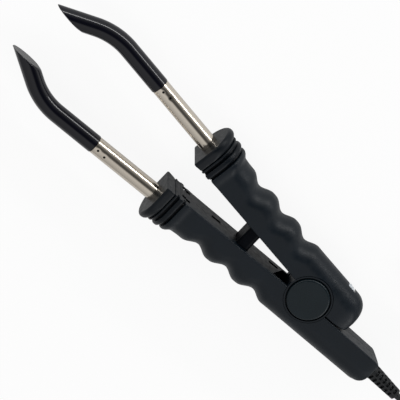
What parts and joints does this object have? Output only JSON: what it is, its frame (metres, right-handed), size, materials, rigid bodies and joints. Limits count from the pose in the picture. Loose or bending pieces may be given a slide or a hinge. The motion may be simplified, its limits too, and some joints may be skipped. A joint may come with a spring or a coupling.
{
  "type": "hair extension iron",
  "caption": "Scissor-like iron with crossed black arms, steel barrels and bent glossy jaws that press a keratin bond between them, with a thumbwheel and a mains lead.",
  "frame": {"origin": "on the pivot axis, at the level of the surface that the iron lies on", "axes": "+Z along the pivot axis, out of the front; +Y along the mid plane of the closed arms to the jaw tips; +X to the side of the moving arm"},
  "size_m": [0.0785, 0.3305, 0.0239],
  "materials": {
    "shell": "fine matte, moulded",
    "polished_steel": "polished",
    "gloss_black": "gloss coating",
    "ceramic": "fired, matte",
    "glass_sleeve": "woven",
    "zinc_steel": "zinc plated",
    "brass": "turned",
    "post_black": "satin",
    "dial_white": "translucent, ribbed",
    "board_green": "coated",
    "cord_black": "satin"
  },
  "bodies": {
    "fixed_arm": {"fixed_front_shell": "shell", "fixed_back_shell": "shell", "fixed_collar": "shell", "fixed_barrel": "polished_steel", "fixed_jaw": "gloss_black", "fixed_heater": "ceramic", "fixed_heater_holder": "ceramic", "fixed_heater_sleeve": "glass_sleeve", "fixed_screw_1": "zinc_steel", "fixed_screw_2": "zinc_steel", "fixed_screw_3": "zinc_steel", "pivot_front_cap": "shell", "pivot_back_cap": "shell", "pivot_bolt": "zinc_steel", "pivot_nut": "zinc_steel", "spring_post": "post_black", "return_spring": "zinc_steel", "terminal_block": "ceramic", "strain_relief": "cord_black", "mains_cord": "cord_black", "cord_coil": "cord_black", "coil_tie": "cord_black", "plug_body": "cord_black", "plug_pin_left": "zinc_steel", "plug_pin_right": "zinc_steel"},
    "moving_arm": {"moving_front_shell": "shell", "moving_back_shell": "shell", "moving_collar": "shell", "moving_barrel": "polished_steel", "moving_jaw": "gloss_black", "moving_heater": "ceramic", "moving_heater_holder": "ceramic", "moving_heater_sleeve": "glass_sleeve", "moving_screw_1": "zinc_steel", "moving_screw_2": "zinc_steel", "pivot_bush": "brass", "potentiometer": "zinc_steel", "control_board": "board_green"},
    "dial": {"temperature_dial": "dial_white"}
  },
  "joints": [
    {"name": "arm_hinge", "type": "hinge", "parent": "fixed_arm", "child": "moving_arm", "pos_m": [0, 0, 0], "axis": [0, 0, 1], "range_deg": [0, 8.9], "stiffness_Nm_per_rad": 4.1, "springref_deg": -2.86, "deforming": ["return_spring"]},
    {"name": "dial_turn", "type": "hinge", "parent": "moving_arm", "child": "dial", "pos_m": [0.01051, -0.01238, 0.01195], "axis": [0, 0, 1], "range_deg": [-135, 135]}
  ]
}
